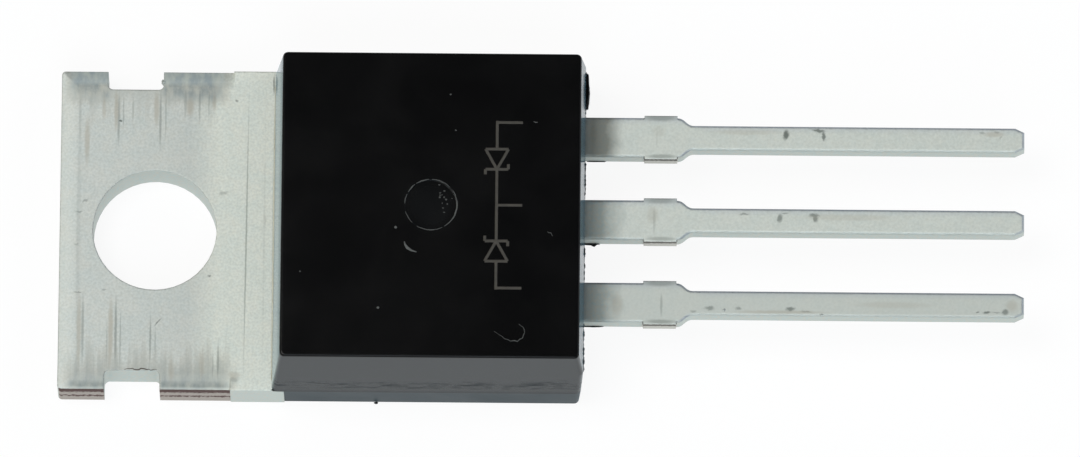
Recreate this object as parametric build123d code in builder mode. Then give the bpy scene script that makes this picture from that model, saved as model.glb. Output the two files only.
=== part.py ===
"""A dual rectifier diode in a three-lead power package with a metal mounting tab.

The part lies on the bare metal back of its tab. The origin is the centre of the
mounting hole on that back, +X runs to the lead tips, +Y across the leads, and
+Z out of the marked face. All lengths are in millimetres, all angles in degrees.
"""

import math
import os

from build123d import *

# Tab and pad, stamped from the thick gauge of the header strip
tab_width = 9.84
tab_thickness = 1.3
tab_corner_radius = 0.12
hole_diameter = 3.68
hole_to_tab_end = 2.83
hole_to_shoulder = 3.9
pad_setback = 3.33
pad_width = 8.0
pad_corner_radius = 0.4
lock_lip_width = 0.3
lock_lip_thickness = 0.6

# Sheared edges at the tab's end and along its ears, where the front face rolls over
ear_end = 2.3
ear_setback = 0.03
roll_width = 0.5
roll_depth = 0.06

# Edge notches of the tab
notch_length = 1.65
notch_depth = 0.59
notch_corner_radius = 0.15
hole_to_notch = 0.62

# Leads, stamped from the thin gauge
lead_pitch = 2.54
lead_thickness = 0.5
lead_back_height = 2.4
lead_length = 13.03
lead_width = 0.77
root_width = 1.23
root_length = 2.73
stub_length = 0.98
stub_proud = 0.05
shoulder_length = 0.5
tip_chamfer_length = 0.27
tip_chamfer_width = 0.13
lead_roll_radius = 0.08

# Neck that joins the middle lead to the pad
neck_width = 2.2
neck_run = 0.3
neck_slope = 60
neck_bend_radius = 0.4
neck_embed = 0.6
neck_taper_length = 0.7

# Bond posts of the outer leads
post_length = 1.65
post_gap = 0.45
post_margin = 0.85
post_setback = 1.4
post_corner_radius = 0.25
lock_notch_radius = 0.2

# Moulded body, a little wider than the tab on each side
body_height = 4.4
body_side_proud = 0.02
body_length = 9.25
body_overhang = 0.37
upper_draft = 5
lower_draft = 2.5
body_corner_radius = 0.15
body_rim_radius = 0.07

# Round ejector mark in the middle of the top face
ejector_diameter = 1.52
ejector_depth = 0.05

# Broken gate on the wall that the leads leave
gate_width = 1.1
gate_thickness = 0.4
gate_proud = 0.1
gate_embed = 0.5
gate_inset = 0.96

# Chips, solder and bond ribbons
die_size = 3.0
die_thickness = 0.28
die_gap = 0.7
die_setback = 1.3
solder_thickness = 0.06
solder_margin = 0.1
ribbon_width = 0.76
ribbon_thickness = 0.15
ribbon_pitch = 1.0
ribbon_foot_length = 0.75
ribbon_foot_inset = 0.3
ribbon_loop_height = 0.6
ribbon_rise_angle = 50
ribbon_bend_radius = 0.45

# Heights and stations that several pieces share
lead_front_height = lead_back_height + lead_thickness
lead_mid_height = lead_back_height + lead_thickness / 2
body_width = tab_width + 2 * body_side_proud
body_tab_end = hole_to_shoulder - body_overhang
body_lead_end = body_tab_end + body_length
pad_end = body_lead_end - pad_setback
shoulder_start = body_lead_end + root_length
lead_tip = body_lead_end + lead_length
neck_mid_height = tab_thickness - lead_thickness / 2
post_end = body_lead_end - post_setback
post_start = post_end - post_length
post_inner_edge = neck_width / 2 + post_gap
post_outer_edge = body_width / 2 - post_margin
post_centre_y = (post_inner_edge + post_outer_edge) / 2
post_width = post_outer_edge - post_inner_edge
solder_top = tab_thickness + solder_thickness
die_top = solder_top + die_thickness
die_centre_x = pad_end - die_setback - die_size / 2
die_centre_y = (die_gap + die_size) / 2


def lead_outline(start):
    """Plan of one lead from its start to its tip, centred on the X axis, without its stubs."""
    with BuildSketch() as outline:
        with BuildLine():
            root_edge = Polyline(
                (start, 0),
                (start, root_width / 2),
                (shoulder_start, root_width / 2),
            )
            shoulder_edge = Spline(
                root_edge @ 1,
                (shoulder_start + shoulder_length, lead_width / 2),
                tangents=[(1, 0), (1, 0)],
            )
            Polyline(
                shoulder_edge @ 1,
                (lead_tip - tip_chamfer_length, lead_width / 2),
                (lead_tip, lead_width / 2 - tip_chamfer_width),
                (lead_tip, 0),
            )
            mirror(about=Plane.XZ)
        make_face()
    return outline.sketch


def stub_outline(lead_axis):
    """Plan of what is left of the dam bar that joined the leads, across one lead."""
    with BuildSketch(Plane.XY.offset(lead_back_height)) as outline:
        with Locations((shoulder_start - stub_length / 2, lead_axis)):
            Rectangle(stub_length, root_width + 2 * stub_proud)
    return outline.sketch


def outer_front_edges(lead):
    """Edges of a lead's front face that run on outside the body, all round to its tip."""
    front = lead.faces().sort_by(Axis.Z)[-1]
    return front.edges().filter_by(lambda edge: edge.center().X > body_lead_end)


def roll_cutter(plane):
    """Waste that a shear takes off a front edge, outward along the plane's X axis.

    The plane's origin lies on the edge, and its Y axis points up, out of the front face.
    """
    with BuildSketch(plane) as cutter:
        with BuildLine():
            rolled_face = TangentArc((-roll_width, 0), (0, -roll_depth), tangent=(1, 0))
            Polyline(rolled_face @ 1, (roll_depth, -roll_depth), (roll_depth, 0), rolled_face @ 0)
        make_face()
    return cutter.sketch


def mould_section(height, tab_end, lead_end, width):
    """Plan of the moulded body at one height."""
    with BuildSketch(Plane.XY.offset(height)) as section:
        with Locations(((tab_end + lead_end) / 2, 0)):
            RectangleRounded(lead_end - tab_end, width, body_corner_radius)
    return section.sketch


def draft_inset(height, draft):
    """Distance that a drafted wall leans in over a height."""
    return height * math.tan(math.radians(draft))


# Header: tab, pad and middle lead in one stamping
with BuildPart() as header:
    # The thin strip runs flat from the pad, bends up and runs out as the middle lead
    neck_rise = lead_mid_height - neck_mid_height
    bend_foot = pad_end + neck_run
    bend_head = bend_foot + neck_rise / math.tan(math.radians(neck_slope))
    with BuildLine(Plane.XZ):
        strip_path = FilletPolyline(
            (pad_end - neck_embed, neck_mid_height),
            (bend_foot, neck_mid_height),
            (bend_head, lead_mid_height),
            (lead_tip, lead_mid_height),
            radius=neck_bend_radius,
        )
    with BuildSketch(Plane(origin=strip_path @ 0, x_dir=(0, 1, 0), z_dir=strip_path % 0)):
        Rectangle(neck_width, lead_thickness)
    sweep()

    # Trim the strip to the neck's taper and the lead's outline
    taper_start = bend_head + neck_bend_radius
    with BuildSketch() as strip_outline:
        add(lead_outline(taper_start))
        with BuildLine():
            Polyline(
                (pad_end - neck_embed, -neck_width / 2),
                (taper_start, -neck_width / 2),
                (taper_start + neck_taper_length, -root_width / 2),
                (taper_start + neck_taper_length, root_width / 2),
                (taper_start, neck_width / 2),
                (pad_end - neck_embed, neck_width / 2),
                close=True,
            )
        make_face()
    extrude(amount=lead_front_height, mode=Mode.INTERSECT)

    # The punch rolls the lead's front edges over. The dam bar is sheared off later, and stays sharp
    fillet(outer_front_edges(header), lead_roll_radius)
    extrude(stub_outline(0), amount=lead_thickness)

    # Tab with its two edge notches, cut back a little along the ears
    with BuildSketch() as tab_outline:
        with Locations(((hole_to_shoulder - hole_to_tab_end) / 2, 0)):
            Rectangle(hole_to_shoulder + hole_to_tab_end, tab_width - 2 * ear_setback)
        fillet(tab_outline.vertices().group_by(Axis.X)[0], tab_corner_radius)
        with Locations(((hole_to_shoulder + ear_end) / 2, 0)):
            Rectangle(hole_to_shoulder - ear_end, tab_width)
        with Locations((-hole_to_notch, tab_width / 2), (-hole_to_notch, -tab_width / 2)):
            RectangleRounded(notch_length, 2 * notch_depth, notch_corner_radius, mode=Mode.SUBTRACT)
    extrude(amount=tab_thickness)

    # Rolled edges: across the tab's end, then along both sides of the ears
    end_edge = Plane(
        origin=(-hole_to_tab_end, -tab_width / 2, tab_thickness),
        x_dir=(-1, 0, 0),
        z_dir=(0, 1, 0),
    )
    extrude(roll_cutter(end_edge), amount=tab_width, mode=Mode.SUBTRACT)
    far_edge = Plane(
        origin=(-hole_to_tab_end, tab_width / 2 - ear_setback, tab_thickness),
        x_dir=(0, 1, 0),
        z_dir=(1, 0, 0),
    )
    far_waste = extrude(roll_cutter(far_edge), amount=hole_to_tab_end + ear_end, mode=Mode.SUBTRACT)
    mirror(far_waste, about=Plane.XZ, mode=Mode.SUBTRACT)

    # Pad under the body, narrower at its back so that the plastic grips it
    pad_layers = [
        (0, pad_width, pad_end - lock_lip_width),
        (tab_thickness - lock_lip_thickness, pad_width + 2 * lock_lip_width, pad_end),
    ]
    for layer_height, layer_width, layer_end in pad_layers:
        with BuildSketch(Plane.XY.offset(layer_height)) as pad_outline:
            with Locations(((ear_end + layer_end) / 2, 0)):
                Rectangle(layer_end - ear_end, layer_width)
            fillet(pad_outline.vertices().group_by(Axis.X)[-1], pad_corner_radius)
        extrude(amount=tab_thickness - layer_height)

    # Mounting hole
    Hole(hole_diameter / 2)
header.part.label = "header"

# Outer leads, each with a bond post at its inner end
anode_leads = []
for number, side in ((1, 1), (2, -1)):
    lead_axis = side * lead_pitch
    with BuildPart() as anode_lead:
        with BuildSketch(Plane.XY.offset(lead_back_height)):
            with Locations((0, lead_axis)):
                add(lead_outline(post_end - post_corner_radius))
            with Locations((post_end, lead_axis - root_width / 2), (post_end, lead_axis + root_width / 2)):
                Circle(lock_notch_radius, mode=Mode.SUBTRACT)
            with Locations((post_start + post_length / 2, side * post_centre_y)):
                RectangleRounded(post_length, post_width, post_corner_radius)
        extrude(amount=lead_thickness)
        fillet(outer_front_edges(anode_lead), lead_roll_radius)
        extrude(stub_outline(lead_axis), amount=lead_thickness)
    anode_lead.part.label = f"anode_lead_{number}"
    anode_leads.append(anode_lead.part)

# Chips, each on its own layer of solder, side by side on the pad
dies = []
solder_layers = []
for number, side in ((1, 1), (2, -1)):
    with BuildPart() as solder_layer:
        with BuildSketch(Plane.XY.offset(tab_thickness)):
            with Locations((die_centre_x, side * die_centre_y)):
                RectangleRounded(die_size + 2 * solder_margin, die_size + 2 * solder_margin, solder_margin)
        extrude(amount=solder_thickness)
    solder_layer.part.label = f"die_solder_{number}"
    solder_layers.append(solder_layer.part)

    with BuildPart() as die:
        with BuildSketch(Plane.XY.offset(solder_top)):
            with Locations((die_centre_x, side * die_centre_y)):
                Rectangle(die_size, die_size)
        extrude(amount=die_thickness)
    die.part.label = f"die_{number}"
    dies.append(die.part)

# Bond ribbons, two from each chip over to its lead's post
bond_ribbons = []
die_foot_height = die_top + ribbon_thickness / 2
post_foot_height = lead_front_height + ribbon_thickness / 2
loop_top = lead_front_height + ribbon_loop_height
die_foot_end = die_centre_x + ribbon_foot_length
post_foot_start = post_start + ribbon_foot_inset
rise_slope = math.tan(math.radians(ribbon_rise_angle))
for number, side in ((1, 1), (2, -1)):
    bond_axis = side * (die_centre_y + post_centre_y) / 2
    for letter, shift in (("a", ribbon_pitch / 2), ("b", -ribbon_pitch / 2)):
        with BuildPart() as bond_ribbon:
            with BuildLine(Plane.XZ.offset(-(bond_axis + shift))):
                ribbon_path = FilletPolyline(
                    (die_foot_end - ribbon_foot_length, die_foot_height),
                    (die_foot_end, die_foot_height),
                    (die_foot_end + (loop_top - die_foot_height) / rise_slope, loop_top),
                    (post_foot_start - (loop_top - post_foot_height) / rise_slope, loop_top),
                    (post_foot_start, post_foot_height),
                    (post_foot_start + ribbon_foot_length, post_foot_height),
                    radius=ribbon_bend_radius,
                )
            with BuildSketch(Plane(origin=ribbon_path @ 0, x_dir=(0, 1, 0), z_dir=ribbon_path % 0)):
                Rectangle(ribbon_width, ribbon_thickness)
            sweep()
        bond_ribbon.part.label = f"bond_ribbon_{number}{letter}"
        bond_ribbons.append(bond_ribbon.part)

# Moulded body: three drafted bands, broken at the tab's face and at the leads' face
with BuildPart() as mould_body:
    sections = []
    for height in (0, tab_thickness, lead_front_height, body_height):
        below_tab_face = max(tab_thickness - height, 0)
        above_tab_face = max(height - tab_thickness, 0)
        below_parting = max(lead_front_height - height, 0)
        above_parting = max(height - lead_front_height, 0)
        tab_end_inset = draft_inset(above_tab_face, upper_draft)
        side_inset = tab_end_inset + draft_inset(below_tab_face, lower_draft)
        lead_end_inset = draft_inset(above_parting, upper_draft) + draft_inset(below_parting, lower_draft)
        sections.append(
            mould_section(
                height,
                body_tab_end + tab_end_inset,
                body_lead_end - lead_end_inset,
                body_width - 2 * side_inset,
            )
        )
    back, tab_level, parting, front = sections

    # Beside the pad, the plastic starts at the tab's shoulders
    loft([back, tab_level], ruled=True)
    split(bisect_by=Plane.YZ.offset(hole_to_shoulder), keep=Keep.TOP)
    loft([tab_level, parting], ruled=True)
    loft([parting, front], ruled=True)
    top_face = mould_body.faces().sort_by(Axis.Z)[-1]
    top_centre = top_face.center()
    fillet(top_face.outer_wire().edges(), body_rim_radius)

    # Ejector mark
    with BuildSketch(Plane.XY.offset(body_height)):
        with Locations((top_centre.X, top_centre.Y)):
            Circle(ejector_diameter / 2)
    extrude(amount=-ejector_depth, mode=Mode.SUBTRACT)

    # Broken gate, under the parting line: a stub that bulges where the runner was snapped off
    gate_near_side = body_width / 2 - gate_inset - gate_width / 2
    gate_far_side = gate_near_side + gate_width
    with BuildSketch(Plane.XY.offset(lead_front_height - gate_thickness)):
        with BuildLine():
            torn_face = ThreePointArc(
                (body_lead_end, gate_near_side),
                (body_lead_end + gate_proud, (gate_near_side + gate_far_side) / 2),
                (body_lead_end, gate_far_side),
            )
            Polyline(
                torn_face @ 1,
                (body_lead_end - gate_embed, gate_far_side),
                (body_lead_end - gate_embed, gate_near_side),
                torn_face @ 0,
            )
        make_face()
    extrude(amount=gate_thickness)

    # The plastic closes on every insert
    for insert in [header.part, *anode_leads, *dies, *solder_layers, *bond_ribbons]:
        add(insert, mode=Mode.SUBTRACT)
mould_body.part.label = "mould_body"

os.makedirs("parts", exist_ok=True)
pieces = [mould_body.part, header.part, *anode_leads, *dies, *solder_layers, *bond_ribbons]
for piece in pieces:
    export_step(piece, f"parts/{piece.label}.step")
    print(piece.label, "solids", len(piece.solids()), "volume", round(piece.volume, 4))
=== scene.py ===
import math
import random

import bmesh
import bpy
from mathutils import Matrix, Vector, noise


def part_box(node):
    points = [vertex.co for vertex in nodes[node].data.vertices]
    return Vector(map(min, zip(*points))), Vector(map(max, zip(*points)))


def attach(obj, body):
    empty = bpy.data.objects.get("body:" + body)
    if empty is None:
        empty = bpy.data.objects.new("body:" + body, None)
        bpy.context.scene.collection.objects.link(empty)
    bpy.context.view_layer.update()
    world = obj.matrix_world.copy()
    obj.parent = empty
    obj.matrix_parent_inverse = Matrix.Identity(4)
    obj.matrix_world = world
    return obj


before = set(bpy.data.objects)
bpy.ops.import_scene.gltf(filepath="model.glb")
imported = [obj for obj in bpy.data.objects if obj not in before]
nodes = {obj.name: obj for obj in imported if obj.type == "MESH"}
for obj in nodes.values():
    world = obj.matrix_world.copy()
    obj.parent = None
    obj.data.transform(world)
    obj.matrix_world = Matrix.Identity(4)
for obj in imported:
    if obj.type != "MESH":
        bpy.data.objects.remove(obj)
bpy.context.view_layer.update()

MM = 0.001
body_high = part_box("mould_body")[1]
header_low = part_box("header")[0]
lead_low, lead_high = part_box("anode_lead_1")

# Real sizes, in millimetres, that the finishes and the small pieces follow
TAB_FRONT = 1.3
LEAD_FRONT = lead_high.z / MM
LEAD_BACK = lead_low.z / MM
BODY_FRONT = body_high.z / MM
BODY_LEAD_END = 12.78
TAB_END = header_low.x / MM
LEAD_PITCH = 2.54
LEAD_HALF_ROOT = 0.615
LEAD_HALF_WIDTH = 0.385
LEAD_TAPER = (15.75, 16.35)
STUB_START = 14.53
STUB_END = 15.51
# Of the plated metal, only the leads lie above this height
LEADS_ABOVE = 2.0
EAR_END = 2.3
TAB_SIDE = 4.92
NOTCH_START = -1.43
NOTCH_END = 0.22
GATE_SIDE = 3.98
GATE_LEVEL = 2.7
EJECTOR_X = 8.225
EJECTOR_Y = 0.0
EJECTOR_RING = 0.775


def linear(hex_colour):
    """A colour written as sRGB hex, turned to the linear values that a shader takes."""
    shares = [int(hex_colour[start : start + 2], 16) / 255 for start in (1, 3, 5)]
    return [s / 12.92 if s <= 0.04045 else ((s + 0.055) / 1.055) ** 2.4 for s in shares] + [1.0]


def add_node(tree, kind, feeds=None, **settings):
    """Adds one node with its settings, and feeds its inputs with values or with other nodes' outputs."""
    node = tree.nodes.new(kind)
    for name, value in settings.items():
        setattr(node, name, value)
    for socket, feed in (feeds or {}).items():
        if isinstance(feed, bpy.types.NodeSocket):
            tree.links.new(feed, node.inputs[socket])
        else:
            node.inputs[socket].default_value = feed
    return node


def begin_finish(name):
    """An empty material, its node tree, and the place on the part in millimetres."""
    finish = bpy.data.materials.new(name)
    finish.use_nodes = True
    tree = finish.node_tree
    tree.nodes.clear()
    metres = add_node(tree, "ShaderNodeTexCoord").outputs["Object"]
    place = add_node(
        tree, "ShaderNodeVectorMath", {0: metres, 1: (1 / MM,) * 3}, operation="MULTIPLY"
    ).outputs[0]
    return finish, tree, place


def spot_and_faces(tree, place):
    """The place, and the direction that the faces look in, each split into X, Y and Z."""
    spot = add_node(tree, "ShaderNodeSeparateXYZ", {0: place})
    looks = add_node(tree, "ShaderNodeNewGeometry").outputs["Normal"]
    faces = add_node(tree, "ShaderNodeSeparateXYZ", {0: looks})
    return spot.outputs, faces.outputs


def spots_on_surface(tree, place, spots, shake_mm=0.12):
    """Strength of marks on a surface, 0 to 1, with their outlines shaken by up to half of shake_mm.

    Each mark is (x, y, half length, half width, turn in degrees, strength).
    """
    wander = add_node(tree, "ShaderNodeTexNoise", {"Vector": place, "Scale": 9.0, "Detail": 3.0})
    shake = add_node(
        tree,
        "ShaderNodeVectorMath",
        {0: wander.outputs["Color"], 1: (0.5, 0.5, 0.5)},
        operation="SUBTRACT",
    ).outputs[0]
    ragged = add_node(
        tree, "ShaderNodeVectorMath",
        {0: shake, 1: (shake_mm, shake_mm, 0.0), 2: place}, operation="MULTIPLY_ADD",
    ).outputs[0]
    total = None
    for x, y, half_length, half_width, turn, strength in spots:
        local = add_node(
            tree,
            "ShaderNodeMapping",
            {
                "Vector": ragged,
                "Location": (x, y, 0),
                "Rotation": (0, 0, math.radians(turn)),
                "Scale": (half_length, half_width, 1000),
            },
            vector_type="TEXTURE",
        ).outputs[0]
        reach = add_node(tree, "ShaderNodeVectorMath", {0: local}, operation="LENGTH").outputs["Value"]
        # A mark is whole up to 0.35 of its half size, and fades out at 1.15 of it
        mark = add_node(
            tree,
            "ShaderNodeMapRange",
            {"Value": reach, 1: 1.15, 2: 0.35, 3: 0.0, 4: strength},
            interpolation_type="SMOOTHSTEP",
        ).outputs[0]
        if total is not None:
            mark = add_node(tree, "ShaderNodeMath", {0: total, 1: mark}, operation="MAXIMUM").outputs[0]
        total = mark
    return total


def fine_relief(tree, height, strength, depth_mm, edge_radius_mm=0.03):
    """Fine surface relief, over edges that are rounded off a little, as real ones are."""
    rounded = add_node(tree, "ShaderNodeBevel", {"Radius": edge_radius_mm * MM}, samples=6).outputs[0]
    return add_node(
        tree,
        "ShaderNodeBump",
        {"Height": height, "Strength": strength, "Distance": depth_mm * MM, "Normal": rounded},
    ).outputs[0]


def end_finish(tree, colour, roughness, relief, **others):
    """Joins the colour, roughness and fine relief to one shader, with the other sockets that are named."""
    feeds = {"Base Color": colour, "Roughness": roughness, "Normal": relief}
    feeds.update((socket.replace("_", " "), value) for socket, value in others.items())
    shader = add_node(tree, "ShaderNodeBsdfPrincipled", feeds)
    add_node(tree, "ShaderNodeOutputMaterial", {"Surface": shader.outputs[0]})


def moulding_epoxy():
    """Black epoxy moulding compound, transfer moulded in a polished steel mould.

    It gives a near-black, satin face, with silica filler as a faint speckle. The walls turn
    blue-grey where they are seen along their face, and have a hazy smear low on each side.
    """
    finish, tree, place = begin_finish("moulding_epoxy_polished_mould")
    spot, faces = spot_and_faces(tree, place)
    # Silica filler, in grains of about 0.05 mm
    filler = add_node(tree, "ShaderNodeTexNoise", {"Vector": place, "Scale": 20.0, "Detail": 2.0}).outputs[0]
    # Flow marks of about 2 mm
    flow = add_node(
        tree, "ShaderNodeTexNoise", {"Vector": place, "Scale": 0.5, "Detail": 3.0, "Distortion": 0.6}
    ).outputs[0]
    # The haze lies round a wandering line, about halfway up the walls
    haze_level = add_node(
        tree, "ShaderNodeMath", {0: flow, 1: 0.9, 2: 1.5}, operation="MULTIPLY_ADD"
    ).outputs[0]
    haze_away = add_node(
        tree, "ShaderNodeMath", {0: spot["Z"], 1: haze_level}, operation="SUBTRACT"
    ).outputs[0]
    haze_reach = add_node(tree, "ShaderNodeMath", {0: haze_away}, operation="ABSOLUTE").outputs[0]
    haze = add_node(
        tree, "ShaderNodeMapRange", {"Value": haze_reach, 1: 0.5, 2: 0.12, 3: 0.0, 4: 1.7},
        interpolation_type="SMOOTHSTEP",
    ).outputs[0]
    # The haze comes in patches of about 0.5 mm, drawn out along the wall
    drawn_out = add_node(
        tree, "ShaderNodeVectorMath", {0: place, 1: (1.4, 1.4, 5.0)}, operation="MULTIPLY"
    ).outputs[0]
    patches = add_node(
        tree, "ShaderNodeTexNoise", {"Vector": drawn_out, "Scale": 1.0, "Detail": 6.0, "Roughness": 0.65}
    ).outputs[0]
    patches = add_node(
        tree, "ShaderNodeMapRange", {"Value": patches, 1: 0.42, 2: 0.62, 3: 0.05, 4: 1.0}
    ).outputs[0]
    haze = add_node(tree, "ShaderNodeMath", {0: haze, 1: patches}, operation="MULTIPLY").outputs[0]
    # Below the tab's front level the mould was blasted, so the epoxy is duller there
    blasted = add_node(
        tree, "ShaderNodeMapRange", {"Value": spot["Z"], 1: 1.6, 2: 1.2, 3: 0.0, 4: 1.35}
    ).outputs[0]
    # The ejector pin's end is ground, not polished
    pin_face = spots_on_surface(tree, place, [(EJECTOR_X, EJECTOR_Y, 0.9, 0.9, 0, 1.0)])
    dull = add_node(tree, "ShaderNodeMath", {0: haze, 1: blasted}, operation="MAXIMUM").outputs[0]
    black = add_node(
        tree, "ShaderNodeMix", {0: filler, 6: linear("#050505"), 7: linear("#0a0a0b")}, data_type="RGBA"
    ).outputs[2]
    colour = add_node(
        tree, "ShaderNodeMix", {0: pin_face, 6: black, 7: linear("#0d0e0f")}, data_type="RGBA"
    ).outputs[2]
    satin = add_node(tree, "ShaderNodeMapRange", {"Value": flow, 1: 0.3, 2: 0.7, 3: 0.14, 4: 0.2}).outputs[0]
    roughness = add_node(
        tree, "ShaderNodeMath", {0: dull, 1: 0.22, 2: satin}, operation="MULTIPLY_ADD"
    ).outputs[0]
    # The end wall that shuts off against the tab is polished brightest, and mirrors the metal at its foot
    polished = add_node(
        tree, "ShaderNodeMapRange", {"Value": faces["X"], 1: -0.8, 2: -0.9}
    ).outputs[0]
    end_roughness = add_node(
        tree, "ShaderNodeMapRange", {"Value": spot["Z"], 1: 2.6, 2: 4.2, 3: 0.04, 4: 0.25}
    ).outputs[0]
    roughness = add_node(
        tree, "ShaderNodeMix", {0: polished, 2: roughness, 3: end_roughness}, data_type="FLOAT"
    ).outputs[0]
    relief = fine_relief(tree, filler, 0.25, 0.003)
    # Release wax leaves a thin bloom, which turns the walls blue-grey where they are seen along their face
    end_finish(
        tree, colour, roughness, relief, IOR=1.5, Specular_IOR_Level=0.14,
        Sheen_Weight=0.2, Sheen_Roughness=0.3, Sheen_Tint=linear("#9ad6ee"),
    )
    return finish


def dragged_wear(tree, place, spot, side, x_range, bare_range, band, lengths, streaked):
    """Strength of the smear along one long edge of the tab: a solid band, then streaks that thin out.

    The side is 1 for the far edge and -1 for the near one, and the x range is where the smear lies.
    The band is (width, fade). It is faint over the bare range, where the edge is cut back to a notch.
    The streaks are as long as the first to the second of two lengths, and as strong as is asked for.
    """
    combed = add_node(
        tree, "ShaderNodeVectorMath", {0: place, 1: (3.2, 0.16 * side, 0.0)}, operation="MULTIPLY"
    ).outputs[0]
    comb = add_node(
        tree, "ShaderNodeTexNoise", {"Vector": combed, "Scale": 1.0, "Detail": 7.0, "Roughness": 0.68}
    ).outputs[0]
    edge_away = add_node(
        tree, "ShaderNodeMath", {0: spot["Y"], 1: -side, 2: TAB_SIDE}, operation="MULTIPLY_ADD"
    ).outputs[0]
    uneven = add_node(tree, "ShaderNodeMath", {0: comb, 1: 0.8, 2: 0.6}, operation="MULTIPLY_ADD").outputs[0]
    reach = add_node(tree, "ShaderNodeMath", {0: edge_away, 1: uneven}, operation="DIVIDE").outputs[0]
    solid = add_node(
        tree, "ShaderNodeMapRange", {"Value": reach, 1: band[0] + band[1], 2: band[0]},
        interpolation_type="SMOOTHSTEP",
    ).outputs[0]
    off_notch = add_node(
        tree, "ShaderNodeMath", {0: spot["X"], 1: sum(bare_range) / 2}, operation="SUBTRACT"
    ).outputs[0]
    off_notch = add_node(tree, "ShaderNodeMath", {0: off_notch}, operation="ABSOLUTE").outputs[0]
    notch_half = (bare_range[1] - bare_range[0]) / 2
    beside = add_node(
        tree, "ShaderNodeMapRange",
        {"Value": off_notch, 1: notch_half - 0.12, 2: notch_half + 0.05, 3: 0.25, 4: 1.0},
    ).outputs[0]
    solid = add_node(tree, "ShaderNodeMath", {0: solid, 1: beside}, operation="MULTIPLY").outputs[0]
    length = add_node(
        tree, "ShaderNodeMapRange", {"Value": comb, 1: 0.42, 2: 0.7, 3: lengths[0], 4: lengths[1]}
    ).outputs[0]
    share = add_node(tree, "ShaderNodeMath", {0: edge_away, 1: length}, operation="DIVIDE").outputs[0]
    streaks = add_node(
        tree, "ShaderNodeMapRange", {"Value": share, 1: 1.0, 2: 0.1, 3: 0.0, 4: streaked}
    ).outputs[0]
    wear = add_node(tree, "ShaderNodeMath", {0: solid, 1: streaks}, operation="MAXIMUM").outputs[0]
    begins = add_node(
        tree, "ShaderNodeMapRange", {"Value": spot["X"], 1: x_range[0], 2: x_range[0] + 0.4}
    ).outputs[0]
    ends = add_node(
        tree, "ShaderNodeMapRange", {"Value": spot["X"], 1: x_range[1] + 0.5, 2: x_range[1]}
    ).outputs[0]
    within = add_node(tree, "ShaderNodeMath", {0: begins, 1: ends}, operation="MULTIPLY").outputs[0]
    return add_node(tree, "ShaderNodeMath", {0: wear, 1: within}, operation="MULTIPLY").outputs[0]


def sheared_cuts(tree, spot, faces, cuts):
    """1 on the faces that were cut after plating, 0 on the rest.

    A cut is (axis faced, its sign, least distance out, from x, to x).
    """
    bare = None
    for axis, sign, least_out, x_from, x_to in cuts:
        out = add_node(
            tree, "ShaderNodeMath", {0: faces[axis], 1: sign}, operation="MULTIPLY"
        ).outputs[0]
        facing = add_node(tree, "ShaderNodeMapRange", {"Value": out, 1: 0.6, 2: 0.8}).outputs[0]
        along = add_node(
            tree, "ShaderNodeMath", {0: spot["X"], 1: (x_from + x_to) / 2, 2: (x_to - x_from) / 2},
            operation="COMPARE",
        ).outputs[0]
        side = add_node(tree, "ShaderNodeMath", {0: spot["Y"], 1: sign}, operation="MULTIPLY").outputs[0]
        beyond = add_node(
            tree, "ShaderNodeMath", {0: side, 1: least_out}, operation="GREATER_THAN"
        ).outputs[0]
        cut = add_node(tree, "ShaderNodeMath", {0: facing, 1: along}, operation="MULTIPLY").outputs[0]
        cut = add_node(tree, "ShaderNodeMath", {0: cut, 1: beyond}, operation="MULTIPLY").outputs[0]
        if bare is not None:
            cut = add_node(tree, "ShaderNodeMath", {0: bare, 1: cut}, operation="MAXIMUM").outputs[0]
        bare = cut
    return bare


def copper_colour(tree, spot, grain, is_lead):
    """Sheared copper by height: torn and tan, with a burnished dark line under the front and one halfway."""
    lead_share = add_node(
        tree, "ShaderNodeMapRange", {"Value": spot["Z"], 1: LEAD_BACK, 2: LEAD_FRONT}
    ).outputs[0]
    tab_share = add_node(
        tree, "ShaderNodeMapRange", {"Value": spot["Z"], 1: 0.0, 2: TAB_FRONT}
    ).outputs[0]
    is_tab = add_node(tree, "ShaderNodeMath", {0: 1.0, 1: is_lead}, operation="SUBTRACT").outputs[0]
    ragged = add_node(tree, "ShaderNodeMath", {0: grain, 1: 0.5}, operation="SUBTRACT").outputs[0]
    # Each dark line: the metal that it is on, the share of height that it follows, its level, half thickness
    dark_lines = (
        (is_tab, tab_share, 0.84, 0.16),
        (is_tab, tab_share, 0.38, 0.05),
        (is_lead, lead_share, 0.78, 0.17),
    )
    dark = None
    for metal, share, level, half in dark_lines:
        wavy = add_node(
            tree, "ShaderNodeMath", {0: ragged, 1: 0.28, 2: share}, operation="MULTIPLY_ADD"
        ).outputs[0]
        away = add_node(tree, "ShaderNodeMath", {0: wavy, 1: level}, operation="SUBTRACT").outputs[0]
        away = add_node(tree, "ShaderNodeMath", {0: away}, operation="ABSOLUTE").outputs[0]
        band = add_node(
            tree, "ShaderNodeMapRange", {"Value": away, 1: half * 1.3, 2: half * 0.7}
        ).outputs[0]
        band = add_node(tree, "ShaderNodeMath", {0: band, 1: metal}, operation="MULTIPLY").outputs[0]
        if dark is not None:
            band = add_node(tree, "ShaderNodeMath", {0: dark, 1: band}, operation="MAXIMUM").outputs[0]
        dark = band
    # The thin dam bar tore with tin smeared over it, so its cuts are paler than the tab's
    pale = add_node(
        tree, "ShaderNodeMix", {0: is_lead, 6: linear("#aba59f"), 7: linear("#c9c9c3")}, data_type="RGBA"
    ).outputs[2]
    burnished = add_node(
        tree, "ShaderNodeMix", {0: is_lead, 6: linear("#553f3c"), 7: linear("#6c6b66")}, data_type="RGBA"
    ).outputs[2]
    return add_node(tree, "ShaderNodeMix", {0: dark, 6: pale, 7: burnished}, data_type="RGBA").outputs[2]


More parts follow.
